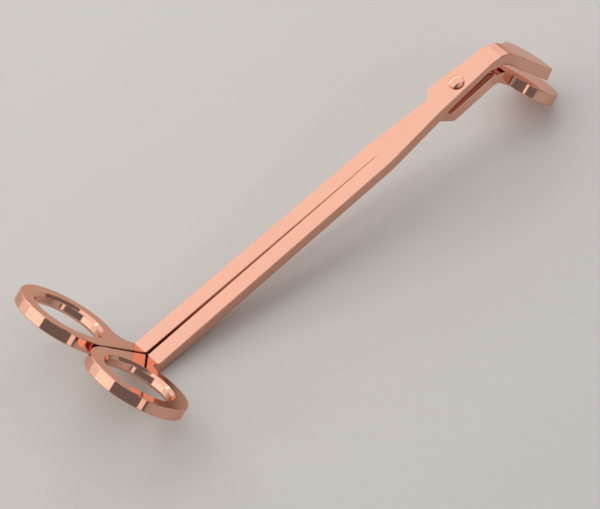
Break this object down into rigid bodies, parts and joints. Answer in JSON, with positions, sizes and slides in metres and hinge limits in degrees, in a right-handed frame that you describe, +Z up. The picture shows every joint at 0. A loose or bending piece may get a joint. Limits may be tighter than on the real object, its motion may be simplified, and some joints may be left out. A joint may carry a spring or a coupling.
{
  "type": "wick trimmer",
  "caption": "Scissor-action candle wick trimmer: two bent plate halves crossed on a rivet, finger rings at the back, a blade over a round catch tray at the front.",
  "frame": {"origin": "on the surface the closed tool rests on, at the middle of its length and width", "axes": "+X along the arms towards the jaws, +Y to the left seen from the finger rings, +Z up"},
  "size_m": [0.1632, 0.0566, 0.0267],
  "materials": {
    "plated_steel": "mirror-polished stainless steel plate with rose-gold plating",
    "rivet_steel": "turned and peened steel rivet with the same rose-gold plating, a little paler"
  },
  "bodies": {
    "tray_side": {"tray_half": "plated_steel", "pivot_rivet": "rivet_steel"},
    "blade_side": {"blade_half": "plated_steel"}
  },
  "joints": [
    {"name": "pivot", "type": "hinge", "parent": "tray_side", "child": "blade_side", "pos_m": [0.05079, 0, 0.02007], "axis": [-0.1756, 0, 0.9845], "range_deg": [0, 50]}
  ]
}
